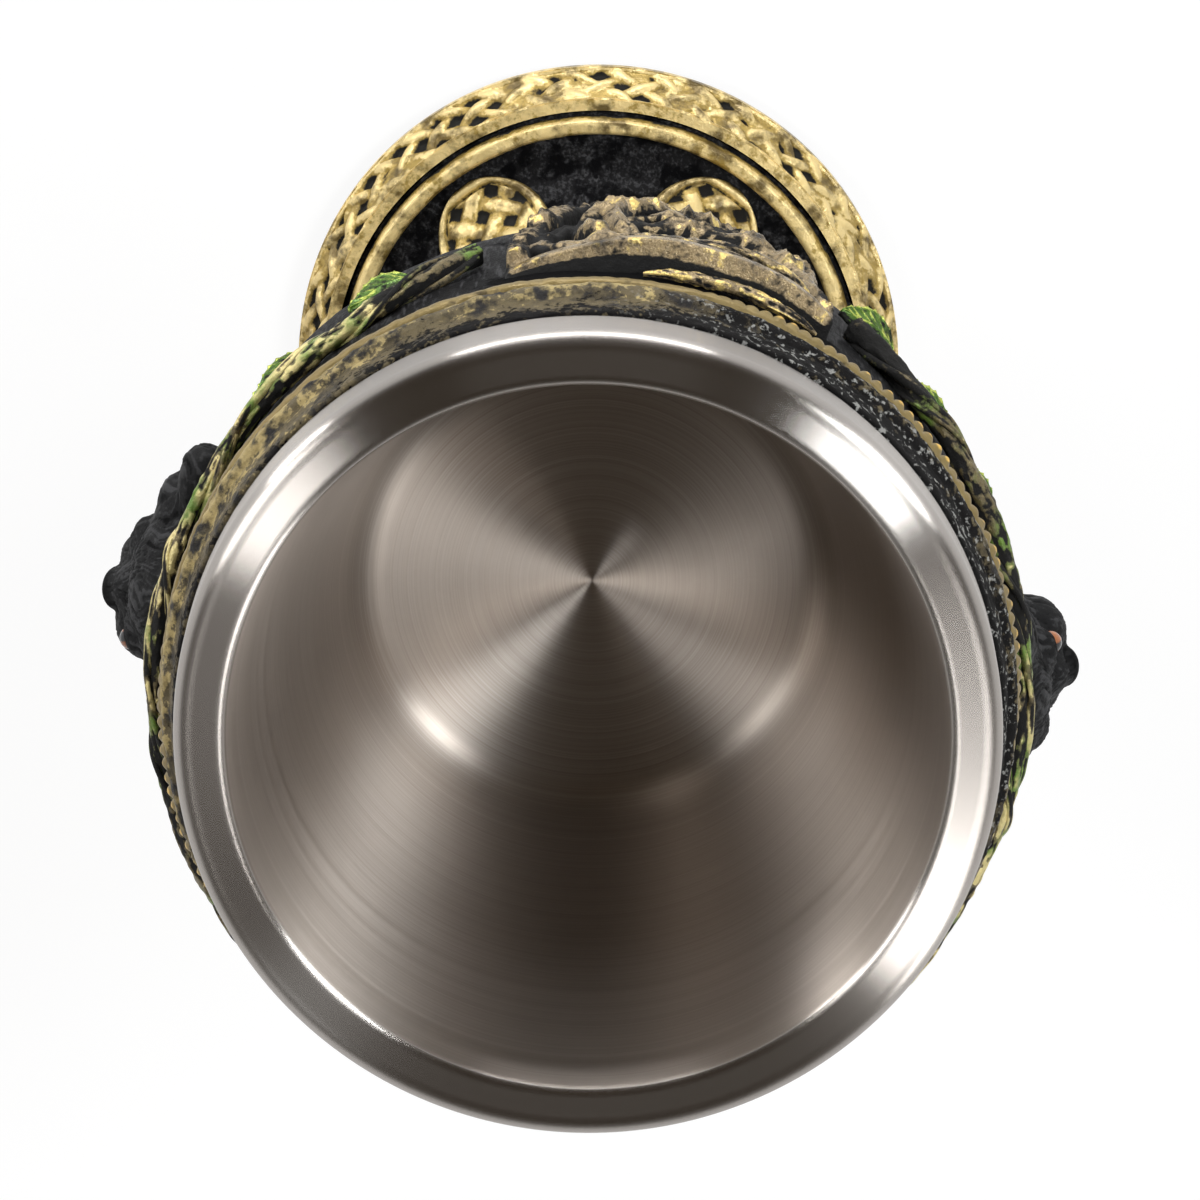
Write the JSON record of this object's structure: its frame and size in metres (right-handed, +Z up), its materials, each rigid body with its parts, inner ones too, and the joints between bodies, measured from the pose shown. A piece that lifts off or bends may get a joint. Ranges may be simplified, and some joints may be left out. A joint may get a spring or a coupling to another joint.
{
  "type": "goblet",
  "caption": "Black resin goblet with a lift-out steel liner, bear heads, knot panels and leafy vines on the bowl, a knopped stem and a round gold-banded foot.",
  "frame": {"origin": "centre of the felt pad's underside, on the surface that the goblet stands on", "axes": "+Z up along the goblet's axis; -Y is the front, towards the first knot panel; the bear heads face +X and -X"},
  "size_m": [0.102, 0.0934, 0.188],
  "materials": {
    "steel": "spun stainless steel, fine turning lines, satin",
    "black_resin": "cold-cast resin painted matte black, dry-brushed grey on raised lines",
    "gold_resin": "cold-cast resin painted pale gold over black, worn in the hollows",
    "bronze_resin": "cold-cast resin painted dark bronze with gold on the high spots",
    "green_resin": "cold-cast resin painted metallic leaf green",
    "felt": "black felt"
  },
  "bodies": {
    "goblet": {"felt_pad": "felt", "foot": "black_resin", "foot_knot_ring": "gold_resin", "foot_ridge_ring": "gold_resin", "foot_lappet_1": "gold_resin", "foot_lappet_2": "gold_resin", "foot_lappet_3": "gold_resin", "foot_lappet_4": "gold_resin", "foot_lappet_5": "gold_resin", "stem": "black_resin", "stem_knop": "gold_resin", "bowl_casing": "black_resin", "rim_band": "bronze_resin", "rim_bead_ring": "gold_resin", "knot_panel_1": "bronze_resin", "knot_panel_2": "bronze_resin", "vine_1": "bronze_resin", "vine_2": "bronze_resin", "bear_head_1": "black_resin", "bear_head_2": "black_resin", "leaf_1": "green_resin", "leaf_2": "green_resin", "leaf_3": "green_resin", "leaf_4": "green_resin", "leaf_5": "green_resin", "leaf_6": "green_resin", "leaf_7": "green_resin", "leaf_8": "green_resin", "leaf_9": "green_resin", "leaf_10": "green_resin", "leaf_11": "green_resin", "leaf_12": "green_resin"},
    "liner": {"steel_liner": "steel"}
  },
  "joints": [
    {"name": "liner_lift", "type": "slide", "parent": "goblet", "child": "liner", "axis": [0, 0, 1], "range_m": [0, 0.08]}
  ]
}
